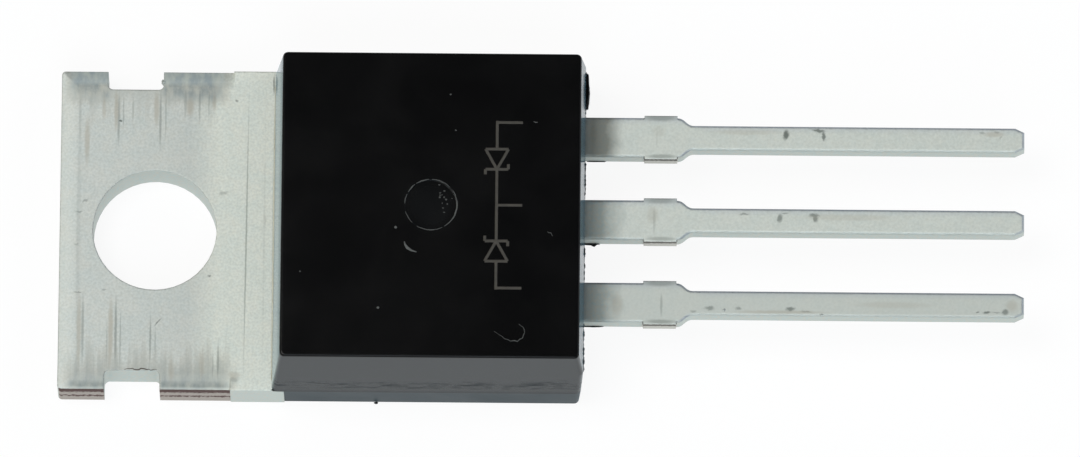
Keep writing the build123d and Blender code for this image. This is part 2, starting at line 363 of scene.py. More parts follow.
def tin_plate(name, marks, fine_lines, copper_cuts, painted_foot_shade, shade=0.0):
    """Matte tin, electroplated on stamped copper strip.

    It gives a pale, slightly green grey with a fine even grain. The plating is smeared and thin
    where the tab's long edges were dragged, and the cuts sheared after plating show bare copper.
    The painted shade on each lead's foot, which stands for the black body's shadow and dark
    reflection, is (from x, to x, strength, colour), and the shade darkens the lead half of the strip.
    """
    finish, tree, place = begin_finish(name)
    spot, faces = spot_and_faces(tree, place)
    # Tin grains are 0.005 mm. They are drawn as 0.07 mm so that they show
    grain = add_node(tree, "ShaderNodeTexNoise", {"Vector": place, "Scale": 14.0, "Detail": 3.0}).outputs[0]
    grain_share = add_node(
        tree, "ShaderNodeMapRange", {"Value": grain, 1: 0.32, 2: 0.68}
    ).outputs[0]
    # Patches of slightly different tone in the plating, about 0.5 mm across
    patch = add_node(tree, "ShaderNodeTexNoise", {"Vector": place, "Scale": 2.0, "Detail": 3.0}).outputs[0]
    patch_share = add_node(
        tree, "ShaderNodeMapRange", {"Value": patch, 1: 0.38, 2: 0.62}
    ).outputs[0]
    toned = add_node(
        tree, "ShaderNodeMix", {0: patch_share, 6: linear("#ccd5cf"), 7: linear("#d9dbd1")}, data_type="RGBA"
    ).outputs[2]
    # Finer flecks of warm and cool tint in the plating, about 0.1 mm across
    fleck = add_node(tree, "ShaderNodeTexNoise", {"Vector": place, "Scale": 11.0, "Detail": 3.0}).outputs[0]
    fleck_share = add_node(
        tree, "ShaderNodeMapRange", {"Value": fleck, 1: 0.35, 2: 0.65}
    ).outputs[0]
    tinted = add_node(
        tree, "ShaderNodeMix", {0: fleck_share, 6: linear("#d0d7d3"), 7: linear("#d6d8ce")}, data_type="RGBA"
    ).outputs[2]
    toned = add_node(tree, "ShaderNodeMix", {0: 0.5, 6: toned, 7: tinted}, data_type="RGBA").outputs[2]
    grained = add_node(
        tree, "ShaderNodeMix", {0: grain_share, 6: linear("#b3bab4"), 7: linear("#eef2ec")}, data_type="RGBA"
    ).outputs[2]
    clean = add_node(tree, "ShaderNodeMix", {0: 0.40, 6: toned, 7: grained}, data_type="RGBA").outputs[2]
    # Painted shade: the tab's front is drawn darker towards its end, from x 1.9 onwards
    tab_end_shade = add_node(
        tree, "ShaderNodeMapRange", {"Value": spot["X"], 1: 1.0, 2: 1.9, 3: 1.0, 4: 0.0}
    ).outputs[0]
    clean = add_node(
        tree, "ShaderNodeMix", {0: tab_end_shade, 6: clean, 7: linear("#ececef")},
        data_type="RGBA", blend_type="MULTIPLY",
    ).outputs[2]
    # The lead half of the strip is rolled thinner, and looks a little darker
    lead_half = add_node(
        tree, "ShaderNodeMapRange", {"Value": spot["X"], 1: 11.0, 2: 14.0, 3: 0.0, 4: 0.37 + shade}
    ).outputs[0]
    clean = add_node(
        tree, "ShaderNodeMix", {0: lead_half, 6: clean, 7: linear("#b0b5b1")}, data_type="RGBA"
    ).outputs[2]

    # Marks and smears lie only on the faces that look up
    looks_up = add_node(
        tree, "ShaderNodeMapRange", {"Value": faces["Z"], 1: 0.5, 2: 0.8}
    ).outputs[0]
    # The smears lie on the tab's front, along its two long edges
    on_tab = add_node(
        tree, "ShaderNodeMath", {0: spot["Z"], 1: TAB_FRONT, 2: 0.07}, operation="COMPARE"
    ).outputs[0]
    notch = (NOTCH_START, NOTCH_END)
    far_smear = dragged_wear(tree, place, spot, 1, (-2.75, 1.75), notch, (0.60, 0.60), (0.6, 2.6), 0.4)
    near_smear = dragged_wear(tree, place, spot, -1, (-2.75, 2.05), notch, (0.12, 0.45), (0.9, 2.2), 0.75)
    # Painted highlight: the smear thins out along the near edge, where the rounded edge catches the light
    near_edge_highlight = add_node(
        tree, "ShaderNodeMapRange",
        {"Value": spot["Y"], 1: 0.03 - TAB_SIDE, 2: 0.13 - TAB_SIDE, 3: 0.35, 4: 1.0},
    ).outputs[0]
    near_smear = add_node(tree, "ShaderNodeMath", {0: near_smear, 1: near_edge_highlight}, operation="MULTIPLY").outputs[0]
    smear = add_node(tree, "ShaderNodeMath", {0: far_smear, 1: near_smear}, operation="MAXIMUM").outputs[0]
    smear = add_node(tree, "ShaderNodeMath", {0: smear, 1: on_tab}, operation="MULTIPLY").outputs[0]
    # A thin smear is tan, and a solid one is grey
    solid_share = add_node(
        tree, "ShaderNodeMapRange", {"Value": smear, 1: 0.1, 2: 0.6}
    ).outputs[0]
    # The smears are mottled, in spots of about 0.2 mm drawn out across the edge
    drawn_out = add_node(
        tree, "ShaderNodeVectorMath", {0: place, 1: (1.0, 0.5, 0.5)}, operation="MULTIPLY"
    ).outputs[0]
    mottle = add_node(
        tree, "ShaderNodeTexNoise", {"Vector": drawn_out, "Scale": 5.0, "Detail": 4.0}
    ).outputs[0]
    mottle = add_node(tree, "ShaderNodeMapRange", {"Value": mottle, 1: 0.36, 2: 0.64}).outputs[0]
    # On the rolled slope of the far edge the smear is burnished, and paler
    slope = add_node(
        tree, "ShaderNodeMapRange", {"Value": faces["Y"], 1: 0.04, 2: 0.09}
    ).outputs[0]
    far_flat, far_slope, near_flat = (
        add_node(
            tree, "ShaderNodeMix", {0: mottle, 6: linear(dark), 7: linear(pale)}, data_type="RGBA"
        ).outputs[2]
        for dark, pale in (("#979f9e", "#b5b7b0"), ("#a8b3b6", "#c1c8c3"), ("#828a89", "#9b9f99"))
    )
    far_colour = add_node(
        tree, "ShaderNodeMix", {0: slope, 6: far_flat, 7: far_slope}, data_type="RGBA"
    ).outputs[2]
    near_half = add_node(tree, "ShaderNodeMath", {0: spot["Y"], 1: 0.0}, operation="LESS_THAN").outputs[0]
    solid_colour = add_node(
        tree, "ShaderNodeMix", {0: near_half, 6: far_colour, 7: near_flat}, data_type="RGBA"
    ).outputs[2]
    smear_colour = add_node(
        tree, "ShaderNodeMix", {0: solid_share, 6: linear("#9d978a"), 7: solid_colour}, data_type="RGBA"
    ).outputs[2]
    smear_share = add_node(tree, "ShaderNodeMath", {0: smear, 1: looks_up}, operation="MULTIPLY").outputs[0]
    colour = add_node(
        tree, "ShaderNodeMix", {0: smear_share, 6: clean, 7: smear_colour}, data_type="RGBA"
    ).outputs[2]

    is_lead = add_node(
        tree, "ShaderNodeMath", {0: spot["Z"], 1: LEADS_ABOVE}, operation="GREATER_THAN"
    ).outputs[0]
    # Painted shade: the edges that the punch rolled over, on the far side and at the tip of each lead, face
    # away from the light and are drawn darker
    outward = add_node(
        tree, "ShaderNodeMath", {0: faces["X"], 1: faces["Y"]}, operation="MAXIMUM"
    ).outputs[0]
    away_edge_shade = add_node(tree, "ShaderNodeMapRange", {"Value": outward, 1: 0.1, 2: 0.4}).outputs[0]
    away_edge_shade = add_node(tree, "ShaderNodeMath", {0: away_edge_shade, 1: is_lead}, operation="MULTIPLY").outputs[0]
    colour = add_node(
        tree, "ShaderNodeMix", {0: away_edge_shade, 6: colour, 7: linear("#dddfec")},
        data_type="RGBA", blend_type="MULTIPLY",
    ).outputs[2]

    # Painted shade: on the near side, nearer the light, the rolled edge is drawn only a little darker
    near_edge_shade = add_node(
        tree, "ShaderNodeMapRange", {"Value": faces["Y"], 1: -0.05, 2: -0.3}
    ).outputs[0]
    near_edge_shade = add_node(
        tree, "ShaderNodeMath", {0: near_edge_shade, 1: is_lead}, operation="MULTIPLY"
    ).outputs[0]
    near_edge_shade = add_node(
        tree, "ShaderNodeMath", {0: near_edge_shade, 1: looks_up}, operation="MULTIPLY"
    ).outputs[0]
    colour = add_node(
        tree, "ShaderNodeMix", {0: near_edge_shade, 6: colour, 7: linear("#f1f2f3")},
        data_type="RGBA", blend_type="MULTIPLY",
    ).outputs[2]

    # Painted shade: each lead's face is drawn darker towards its far edge, where the punch drew it down and
    # it turns from the light
    across = add_node(
        tree, "ShaderNodeMath", {0: spot["Y"], 1: LEAD_PITCH / 2, 2: -LEAD_PITCH / 2}, operation="WRAP"
    ).outputs[0]
    half_width = add_node(
        tree, "ShaderNodeMapRange",
        {"Value": spot["X"], 1: LEAD_TAPER[0], 2: LEAD_TAPER[1], 3: LEAD_HALF_ROOT, 4: LEAD_HALF_WIDTH},
    ).outputs[0]
    inward = add_node(tree, "ShaderNodeMath", {0: half_width, 1: across}, operation="SUBTRACT").outputs[0]
    far_edge_shade = add_node(
        tree, "ShaderNodeMapRange", {"Value": inward, 1: 0.24, 2: 0.06}
    ).outputs[0]
    far_edge_shade = add_node(tree, "ShaderNodeMath", {0: far_edge_shade, 1: is_lead}, operation="MULTIPLY").outputs[0]
    far_edge_shade = add_node(tree, "ShaderNodeMath", {0: far_edge_shade, 1: looks_up}, operation="MULTIPLY").outputs[0]
    colour = add_node(
        tree, "ShaderNodeMix", {0: far_edge_shade, 6: colour, 7: linear("#f3f4fa")},
        data_type="RGBA", blend_type="MULTIPLY",
    ).outputs[2]

    # Single marks and lines: wear in the plating, and painted shade along creases and edges
    wear_and_painted_shade = spots_on_surface(tree, place, marks)
    lines = spots_on_surface(tree, place, fine_lines, 0.03)
    wear_and_painted_shade = add_node(tree, "ShaderNodeMath", {0: wear_and_painted_shade, 1: lines}, operation="MAXIMUM").outputs[0]
    wear_and_painted_shade = add_node(tree, "ShaderNodeMath", {0: wear_and_painted_shade, 1: looks_up}, operation="MULTIPLY").outputs[0]
    colour = add_node(
        tree, "ShaderNodeMix", {0: wear_and_painted_shade, 6: colour, 7: linear("#6a716c")}, data_type="RGBA"
    ).outputs[2]

    # Tan streaks, where the plating was dragged through to the copper's own oxide
    tarnished = spots_on_surface(tree, place, tan_streaks, 0.05)
    tarnished = add_node(tree, "ShaderNodeMath", {0: tarnished, 1: looks_up}, operation="MULTIPLY").outputs[0]
    colour = add_node(
        tree, "ShaderNodeMix", {0: tarnished, 6: colour, 7: linear("#a39b8b")}, data_type="RGBA"
    ).outputs[2]

    # Painted shade: each lead is darkened where it leaves the body, standing for the black body's shadow and
    # dark reflection, and this fades out along the lead
    foot_shade_from, foot_shade_to, foot_shade_strength, foot_shade_colour = painted_foot_shade
    # The tone patches make its end wander by 0.25 mm each way
    wander = 0.25
    foot_shade_edge = add_node(
        tree, "ShaderNodeMath", {0: patch, 1: 2 * wander, 2: spot["X"]}, operation="MULTIPLY_ADD"
    ).outputs[0]
    foot_shade_mask = add_node(
        tree, "ShaderNodeMapRange",
        {"Value": foot_shade_edge, 1: foot_shade_to + wander, 2: foot_shade_from + wander, 3: 0.0, 4: foot_shade_strength},
    ).outputs[0]
    # The painted shade is weaker right beside the body, where the body's own shadow already falls
    foot_shade_eased = add_node(
        tree, "ShaderNodeMapRange", {"Value": spot["X"], 1: 12.8, 2: 13.0, 3: 0.7, 4: 1.0}
    ).outputs[0]
    foot_shade_mask = add_node(tree, "ShaderNodeMath", {0: foot_shade_mask, 1: foot_shade_eased}, operation="MULTIPLY").outputs[0]
    foot_shade_mask = add_node(tree, "ShaderNodeMath", {0: foot_shade_mask, 1: is_lead}, operation="MULTIPLY").outputs[0]
    foot_shade_tint = add_node(
        tree, "ShaderNodeMix",
        {0: fleck_share, 6: linear(foot_shade_colour), 7: linear("#706f66")}, data_type="RGBA",
    ).outputs[2]
    colour = add_node(
        tree, "ShaderNodeMix", {0: foot_shade_mask, 6: colour, 7: foot_shade_tint}, data_type="RGBA"
    ).outputs[2]

    # The plating on stamped sides is thinner, and a little darker and cooler than on the rolled faces
    upright = add_node(tree, "ShaderNodeMath", {0: faces["Z"]}, operation="ABSOLUTE").outputs[0]
    stamped = add_node(tree, "ShaderNodeMapRange", {"Value": upright, 1: 0.75, 2: 0.3}).outputs[0]
    side_colour = add_node(
        tree, "ShaderNodeMix", {0: fleck_share, 6: linear("#bfccca"), 7: linear("#c8cbc4")}, data_type="RGBA"
    ).outputs[2]
    colour = add_node(
        tree, "ShaderNodeMix", {0: stamped, 6: colour, 7: side_colour}, data_type="RGBA"
    ).outputs[2]
    bare = sheared_cuts(tree, spot, faces, copper_cuts)
    copper = copper_colour(tree, spot, grain, is_lead)
    colour = add_node(tree, "ShaderNodeMix", {0: bare, 6: colour, 7: copper}, data_type="RGBA").outputs[2]

    # The grain makes the gloss uneven too
    matte = add_node(
        tree, "ShaderNodeMapRange", {"Value": grain, 1: 0.3, 2: 0.7, 3: 0.57, 4: 0.67}
    ).outputs[0]
    relief = fine_relief(tree, grain, 0.3, 0.004, 0.06)
    end_finish(tree, colour, matte, relief, Metallic=1.0)
    return finish


def grained_face(name, low, high, roughness, grain_per_mm, **constants):
    """A plain face in two close colours, with a fine grain in its gloss and relief.

    The grain is given in spots per millimetre. It is drawn coarser than the real one, so that it shows.
    """
    finish, tree, place = begin_finish(name)
    grain = add_node(
        tree, "ShaderNodeTexNoise", {"Vector": place, "Scale": grain_per_mm, "Detail": 3.0}
    ).outputs[0]
    colour = add_node(
        tree, "ShaderNodeMix", {0: grain, 6: linear(low), 7: linear(high)}, data_type="RGBA"
    ).outputs[2]
    rough = add_node(
        tree, "ShaderNodeMapRange", {"Value": grain, 1: 0.3, 2: 0.7, 3: roughness - 0.05, 4: roughness + 0.05}
    ).outputs[0]
    end_finish(tree, colour, rough, fine_relief(tree, grain, 0.2, 0.003), **constants)
    return finish


# Marks on the plated faces: specks, nicks, and the marks that test probes left on the leads.
# Each is (x, y, half length, half width, turn in degrees, strength), as are the streaks and lines below
header_marks = [
    (2.41, -4.59, 0.16, 0.10, 0, 0.35),
    (-1.06, 3.36, 0.07, 0.05, 0, 0.88),
    (0.13, -2.83, 0.18, 0.03, 50, 0.70),
    (-2.09, 0.88, 0.12, 0.04, 30, 0.45),
    (-2.26, 0.54, 0.12, 0.03, 0, 0.50),
    (-2.31, -0.45, 0.10, 0.04, 20, 0.40),
    (-2.26, -1.93, 0.14, 0.03, 0, 0.50),
    (-1.48, -1.86, 0.08, 0.03, 0, 0.40),
    (2.04, 1.16, 0.16, 0.06, 10, 0.35),
    (1.63, -1.40, 0.06, 0.04, 0, 0.60),
    (2.39, 4.01, 0.06, 0.05, 0, 0.60),
    (3.59, -1.69, 0.05, 0.09, 0, 0.55),
    (3.27, 0.34, 0.04, 0.25, 0, 0.25),
    (17.50, 0.20, 0.17, 0.045, 0, 0.50),
    (18.56, 0.08, 0.085, 0.16, -10, 0.68),
    (18.72, 0.24, 0.12, 0.03, 0, 0.45),
    (19.58, 0.17, 0.19, 0.08, 0, 0.70),
    (19.62, 0.07, 0.10, 0.12, 0, 0.70),
]
lead_1_marks = [
    (18.73, 2.65, 0.10, 0.18, -10, 0.92),
    (19.70, 2.79, 0.22, 0.065, -8, 0.80),
    (19.85, 2.62, 0.065, 0.18, 8, 0.80),
    (24.55, 2.76, 0.10, 0.04, 0, 0.35),
    (24.99, 2.80, 0.09, 0.05, 0, 0.36),
    (25.11, 2.62, 0.08, 0.04, 60, 0.30),
]
lead_2_marks = [
    (16.02, -2.79, 0.12, 0.04, 0, 0.40),
    (16.49, -2.70, 0.17, 0.08, 0, 0.58),
    (17.35, -2.69, 0.10, 0.06, 0, 0.50),
    (18.89, -2.70, 0.17, 0.08, 0, 0.72),
    (19.36, -2.79, 0.20, 0.03, -5, 0.45),
    (24.43, -2.75, 0.06, 0.04, 0, 0.75),
    (24.70, -2.76, 0.13, 0.06, 0, 0.80),
    (24.98, -2.76, 0.20, 0.025, 0, 0.40),
    (25.25, -2.74, 0.12, 0.10, 0, 0.68),
]

# Tan streaks: those that run in from the tab's long edges, then patches on the leads
tan_streaks = [
    (-2.05, 2.75, 0.095, 0.85, 0, 0.40),
    (-1.56, 3.75, 0.068, 0.45, 0, 0.32),
    (-1.20, 3.70, 0.081, 0.70, 0, 0.47),
    (0.00, 3.75, 0.095, 0.60, 0, 0.43),
    (1.00, 3.80, 0.135, 0.35, 0, 0.40),
    (1.72, 3.95, 0.081, 0.30, 0, 0.36),
    (-2.21, -3.10, 0.081, 1.30, 0, 0.40),
    (-1.27, -3.15, 0.095, 1.20, 0, 0.47),
    (0.55, -4.30, 0.108, 0.45, 0, 0.29),
    (1.45, -4.15, 0.095, 0.50, 0, 0.29),
    (2.42, -4.45, 0.216, 0.14, 0, 0.32),
    (13.02, 2.62, 0.12, 0.40, 0, 0.35),
    (14.95, 2.75, 0.25, 0.22, 0, 0.15),
    (17.60, 2.72, 1.2, 0.10, 0, 0.22),
    (20.60, 0.12, 1.6, 0.12, 0, 0.22),
    (14.80, 0.15, 0.22, 0.30, 0, 0.25),
    (13.75, -2.60, 0.22, 0.40, 0, 0.30),
    (21.90, -2.55, 1.3, 0.12, 0, 0.20),
    (25.45, -2.55, 0.22, 0.22, 0, 0.30),
    (18.60, -2.80, 1.60, 0.06, 0, 0.35),
    (24.90, 2.72, 0.35, 0.10, 0, 0.35),
]

# Straight lines: those dragged in from the long edges, those that the stamping tool left, and painted shade
# in the crease at the tab end, at the foot of the tab-end wall and along the dam-bar stubs' edges
header_lines = [
    (-2.27, 3.40, 0.05, 0.95, 0, 0.20),
    (-1.12, 3.40, 0.045, 0.95, 0, 0.40),
    (-0.98, 3.60, 0.03, 0.60, 0, 0.30),
    (-0.70, 3.70, 0.03, 0.50, 0, 0.22),
    (0.12, 3.40, 0.045, 1.05, 0, 0.42),
    (0.28, 3.55, 0.03, 0.80, 0, 0.30),
    (0.86, 3.90, 0.05, 0.50, 0, 0.28),
    (1.28, 3.80, 0.04, 0.60, 0, 0.30),
    (1.56, 3.85, 0.03, 0.55, 0, 0.25),
    (-2.10, -3.05, 0.05, 1.25, 0, 0.38),
    (-1.12, -3.10, 0.05, 1.15, 0, 0.50),
    (-0.98, -3.30, 0.03, 0.95, 0, 0.35),
    (-1.38, -3.50, 0.03, 0.80, 0, 0.25),
    (-0.09, -3.35, 0.035, 0.85, 0, 0.45),
    (0.06, -3.50, 0.03, 0.60, 0, 0.28),
    (1.93, -4.00, 0.04, 0.65, 0, 0.42),
    (1.78, -4.15, 0.03, 0.50, 0, 0.30),
    (2.72, -0.20, 0.030, 4.60, -0.4, 0.48),
    (3.25, -0.20, 0.035, 4.50, 0, 0.12),
    # Painted shade in the crease at the inner edge of the tab's rolled end
    (-2.27, 0.00, 0.070, 4.55, 0, 0.12),
    (3.49, 4.52, 0.035, 0.34, 0, 0.70),
    # Painted shade along the foot of the tab-end wall
    (3.50, 0.00, 0.020, 4.45, 0, 0.22),
    (14.84, -0.05, 0.05, 0.50, 0, 0.24),
    # Painted shade along the edges of the dam-bar stubs
    (15.02, 0.60, 0.60, 0.12, 0, 0.45),
    (15.05, -0.58, 0.50, 0.08, 0, 0.38),
]
lead_1_lines = [
    (14.90, 2.50, 0.03, 0.30, 0, 0.12),
    # Painted shade along the edges of the dam-bar stubs
    (15.00, 3.14, 0.60, 0.12, 0, 0.50),
    (15.05, 1.96, 0.50, 0.08, 0, 0.45),
]
lead_2_lines = [
    (15.07, -2.60, 0.045, 0.40, 0, 0.34),
    # Painted shade along the edges of the dam-bar stubs
    (15.02, -1.94, 0.60, 0.12, 0, 0.45),
    (15.05, -3.12, 0.50, 0.08, 0, 0.45),
]

# Cuts made after plating: (axis faced, its sign, least distance out, from x, to x)
ear = (TAB_END - 0.1, EAR_END)
stub = (STUB_START - 0.02, STUB_END + 0.02)
header_cuts = [("Y", -1, 4.6, *ear), ("Y", 1, 4.6, *ear), ("Y", -1, 0.6, *stub), ("Y", 1, 0.6, *stub)]
lead_1_cuts = [("Y", -1, -1.95, *stub), ("Y", 1, 3.1, *stub)]
lead_2_cuts = [("Y", -1, 3.1, *stub), ("Y", 1, -1.95, *stub)]

# Painted shade on the leads' feet, standing for the black body's shadow and dark reflection: (from x, to x,
# strength, colour)
header_foot_shade = (13.26, 14.02, 0.66, "#5b7073")
lead_1_foot_shade = (13.40, 13.93, 0.84, "#666d69")
lead_2_foot_shade = (13.26, 13.98, 0.66, "#5b7073")

epoxy = moulding_epoxy()
finishes = {
    "mould_body": epoxy,
    "header": tin_plate("matte_tin_plate_header", header_marks, header_lines, header_cuts, header_foot_shade),
    "anode_lead_1": tin_plate(
        "matte_tin_plate_lead_1", lead_1_marks, lead_1_lines, lead_1_cuts, lead_1_foot_shade
    ),
    # This lead is drawn a little darker than the others
    "anode_lead_2": tin_plate(
        "matte_tin_plate_lead_2", lead_2_marks, lead_2_lines, lead_2_cuts, lead_2_foot_shade, shade=0.22
    ),
}
# Sawn and polished silicon: dark grey, nearly a mirror
silicon = grained_face("silicon_sawn_polished", "#35373c", "#44464c", 0.2, 8.0)
# Soft solder, reflowed: dull grey with a soft grain
solder = grained_face("soft_solder_reflowed", "#a9aaac", "#bcbdbe", 0.42, 10.0, Metallic=1.0)
# Rolled aluminium ribbon: bright, with a fine grain
ribbon = grained_face("aluminium_ribbon_rolled", "#d3d4d5", "#e2e3e4", 0.3, 14.0, Metallic=1.0)
# Epoxy scuffed by handling: the filler is laid bare, so it is pale and dull in patches
# The same finish paints the highlight on the ring round the ejector pin's recess
scuffs_and_highlight = grained_face("moulding_epoxy_scuffed_and_highlight", "#181919", "#5d605e", 0.55, 9.0)
# Epoxy chipped by a hard edge: the filler is crushed to a pale dust
chipped = grained_face("moulding_epoxy_chipped", "#3a3d3c", "#5b5e5c", 0.7, 9.0)
# Epoxy burnt by a marking laser: dull brown-grey, uneven along the line
laser_mark = grained_face("moulding_epoxy_laser_marked", "#211f1a", "#45413a", 0.7, 6.0)
# Copper sheared by a punch: dark with oxide, and dull
sheared = grained_face("copper_sheared_oxidised", "#4a4643", "#7d7871", 0.5, 12.0, Metallic=1.0)
# Resin bleed, a thin amber film of clear epoxy through which the tin shines
bleed_film = grained_face("resin_bleed_film_on_tin", "#cfccb8", "#dad8c8", 0.5, 8.0, Metallic=1.0)
for number in "12":
    finishes[f"die_{number}"] = silicon
    finishes[f"die_solder_{number}"] = solder
    for letter in "ab":
        finishes[f"bond_ribbon_{number}{letter}"] = ribbon
for name, finish in finishes.items():
    nodes[name].data.materials.clear()
    nodes[name].data.materials.append(finish)


# Small pieces, built in millimetres
def add_piece(name, shape, finish):
    """Turns a shape built in millimetres into a piece that moves with the part."""
    bmesh.ops.scale(shape, vec=(MM, MM, MM), verts=shape.verts)
    bmesh.ops.recalc_face_normals(shape, faces=shape.faces)
    mesh = bpy.data.meshes.new(name)
    shape.to_mesh(mesh)
    shape.free()
    mesh.materials.append(finish)
    piece = bpy.data.objects.new(name, mesh)
    bpy.context.scene.collection.objects.link(piece)
    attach(piece, "root")


def join_rings(shape, rings):
    """Skins closed rings of points into one solid with flat ends."""
    loops = [[shape.verts.new(point) for point in ring] for ring in rings]
    for near, far in zip(loops, loops[1:]):
        for number in range(len(near)):
            after = (number + 1) % len(near)
            shape.faces.new((near[number], near[after], far[after], far[number]))
    shape.faces.new(loops[0])
    shape.faces.new(loops[-1][::-1])


def add_stroke(shape, points, width, proud, face, thinned=0.0):
    """A raised line with sloping sides on a level face, thinner at its ends by the share asked for."""
    path = [Vector((x, y, 0)) for x, y in points]
    last = len(path) - 1
    rings = []
    for number, point in enumerate(path):
        ahead = path[min(number + 1, last)] - path[max(number - 1, 0)]
        aside = Vector((-ahead.y, ahead.x, 0)).normalized() * width / 2
        aside *= 1 - thinned * abs(2 * number / last - 1)
        foot, crest = Vector((0, 0, face - 0.002)), Vector((0, 0, face + proud))
        inset = aside * 0.7
        ring = [point - aside + foot, point + aside + foot, point + inset + crest, point - inset + crest]
        rings.append(ring)
    join_rings(shape, rings)


def arc_points(x, y, radius, turn_from, turn_to, steps):
    """Points on an arc round (x, y), from one angle to another in degrees."""
    turns = [math.radians(turn_from + (turn_to - turn_from) * step / steps) for step in range(steps + 1)]
    return [(x + radius * math.cos(turn), y + radius * math.sin(turn)) for turn in turns]


def jagged(points, step, shake, seed):
    """The same route with a point every step, each pushed aside at random by up to the shake."""
    pick = random.Random(seed)
    route = []
    for (x0, y0), (x1, y1) in zip(points, points[1:]):
        count = max(1, round(math.dist((x0, y0), (x1, y1)) / step))
        for number in range(count):
            share = number / count
            x = x0 + (x1 - x0) * share + pick.uniform(-shake, shake)
            y = y0 + (y1 - y0) * share + pick.uniform(-shake, shake)
            route.append((x, y))
    return route + [points[-1]]


def add_lump(shape, centre, size, wobble, detail=3, fullness=1.0):
    """A torn crumb: a round grain pushed in and out by noise, then stretched to its size.

    A fullness under 1 fills out its corners.
    """
    grain = bmesh.ops.create_icosphere(shape, subdivisions=detail, radius=1.0)["verts"]
    for vertex in grain:
        push = 1 + wobble * noise.noise(vertex.co * 1.8 + Vector(centre) * 3)
        full = Vector([math.copysign(abs(part) ** fullness, part) for part in vertex.co])
        vertex.co = Vector(centre) + Vector(size) * full * push


def add_flash(shape, x, z, y_from, y_to, reach, thickness, seed):
    """A thin jagged fin on an end wall, where the two halves of the mould meet."""
    pick = random.Random(seed)
    count = max(4, round(abs(y_to - y_from) / 0.07))
    root = x - 0.01
    rings = []
    for number in range(count + 1):
        y = y_from + (y_to - y_from) * number / count
        out = 0.004 + reach * pick.random() ** 2 * (0 < number < count)
        corners = ((root, y, z - thickness), (x + out, y, z), (root, y, z + thickness))
        rings.append([Vector(corner) for corner in corners])
    join_rings(shape, rings)


# Broken gate: the runner was snapped off here and left a torn, rounded face
tear = bmesh.new()
add_lump(tear, (12.80, GATE_SIDE + 0.01, GATE_LEVEL), (0.08, 0.55, 0.19), 0.10, 4, 0.45)
add_lump(tear, (12.85, GATE_SIDE - 0.05, GATE_LEVEL + 0.02), (0.05, 0.34, 0.13), 0.4, 4)
add_piece("gate_tear", tear, epoxy)

# Mould flash at the lead end, between and beside the leads
flash = bmesh.new()
# The stretches of the end wall that no lead covers, from y to y
gaps = [(4.55, 3.2), (1.9, 0.65), (-0.65, -1.9), (-3.2, -4.55)]
for number, (y_from, y_to) in enumerate(gaps):
    add_flash(flash, BODY_LEAD_END, LEAD_FRONT - 0.01, y_from, y_to, 0.045, 0.02, 40 + number)
    add_flash(flash, BODY_LEAD_END, LEAD_BACK + 0.02, y_from, y_to, 0.03, 0.015, 60 + number)
add_piece("mould_flash", flash, epoxy)

# Resin that crept along the leads and the tab when the mould was filled
crumbs = bmesh.new()
add_lump(crumbs, (12.98, -LEAD_HALF_ROOT - 0.02, LEAD_BACK + 0.03), (0.24, 0.035, 0.04), 0.4)
add_lump(crumbs, (13.06, -LEAD_HALF_ROOT - 0.04, LEAD_BACK + 0.02), (0.07, 0.05, 0.04), 0.5)
add_lump(crumbs, (13.04, -LEAD_PITCH - LEAD_HALF_ROOT - 0.01, LEAD_BACK + 0.04), (0.28, 0.025, 0.04), 0.4)
add_lump(crumbs, (13.10, LEAD_PITCH - LEAD_HALF_ROOT - 0.01, LEAD_BACK + 0.03), (0.30, 0.018, 0.03), 0.4)
add_lump(crumbs, (3.66, -4.90, TAB_FRONT + 0.01), (0.13, 0.035, 0.02), 0.5)
add_lump(crumbs, (6.62, -4.93, 0.05), (0.06, 0.03, 0.05), 0.5)
add_piece("resin_crumbs", crumbs, epoxy)

# A low ring round the ejector pin's recess, whole only in parts, painted pale as a highlight where the
# recess's edge catches the light
ring = bmesh.new()
# Each arc: from and to in degrees, and its width
ring_arcs = [
    (-58, 34, 0.052),
    (44, 88, 0.038),
    (94, 124, 0.042),
    (128, 150, 0.045),
    (156, 178, 0.036),
    (196, 226, 0.030),
    (238, 296, 0.036),
]
for number, (turn_from, turn_to, width) in enumerate(ring_arcs):
    steps = max(6, (turn_to - turn_from) // 3)
    arc = arc_points(EJECTOR_X, EJECTOR_Y, EJECTOR_RING, turn_from, turn_to, steps)
    add_stroke(ring, jagged(arc, 1.0, 0.006, 80 + number), width, 0.004, BODY_FRONT, 0.5)
# Specks on the floor of the recess, which is 0.05 mm deep
pick = random.Random(90)
for _ in range(14):
    turn, away = math.radians(pick.uniform(-35, 70)), pick.uniform(0.34, 0.68)
    x, y = EJECTOR_X + away * math.cos(turn), EJECTOR_Y + away * math.sin(turn)
    size = (pick.uniform(0.015, 0.04), pick.uniform(0.015, 0.03), 0.006)
    add_lump(ring, (x, y, BODY_FRONT - 0.05), size, 0.5, 2)
add_piece("ejector_ring", ring, scuffs_and_highlight)

# Handling scratches on the front
scratches = bmesh.new()
hook = [
    (10.14, -3.87), (10.30, -3.98), (10.45, -4.08), (10.62, -4.15), (10.82, -4.16),
    (10.97, -4.06), (11.05, -3.88), (11.00, -3.73), (10.86, -3.64),
]
add_stroke(scratches, jagged(hook, 0.08, 0.012, 1), 0.035, 0.004, BODY_FRONT, 0.6)
nick = jagged([(11.67, -0.81), (11.78, -0.84), (11.84, -0.94)], 0.05, 0.01, 2)
add_stroke(scratches, nick, 0.03, 0.004, BODY_FRONT, 0.5)
add_stroke(scratches, [(11.24, 2.58), (11.31, 2.55), (11.37, 2.56)], 0.04, 0.004, BODY_FRONT, 0.5)
add_piece("scratches", scratches, scuffs_and_highlight)

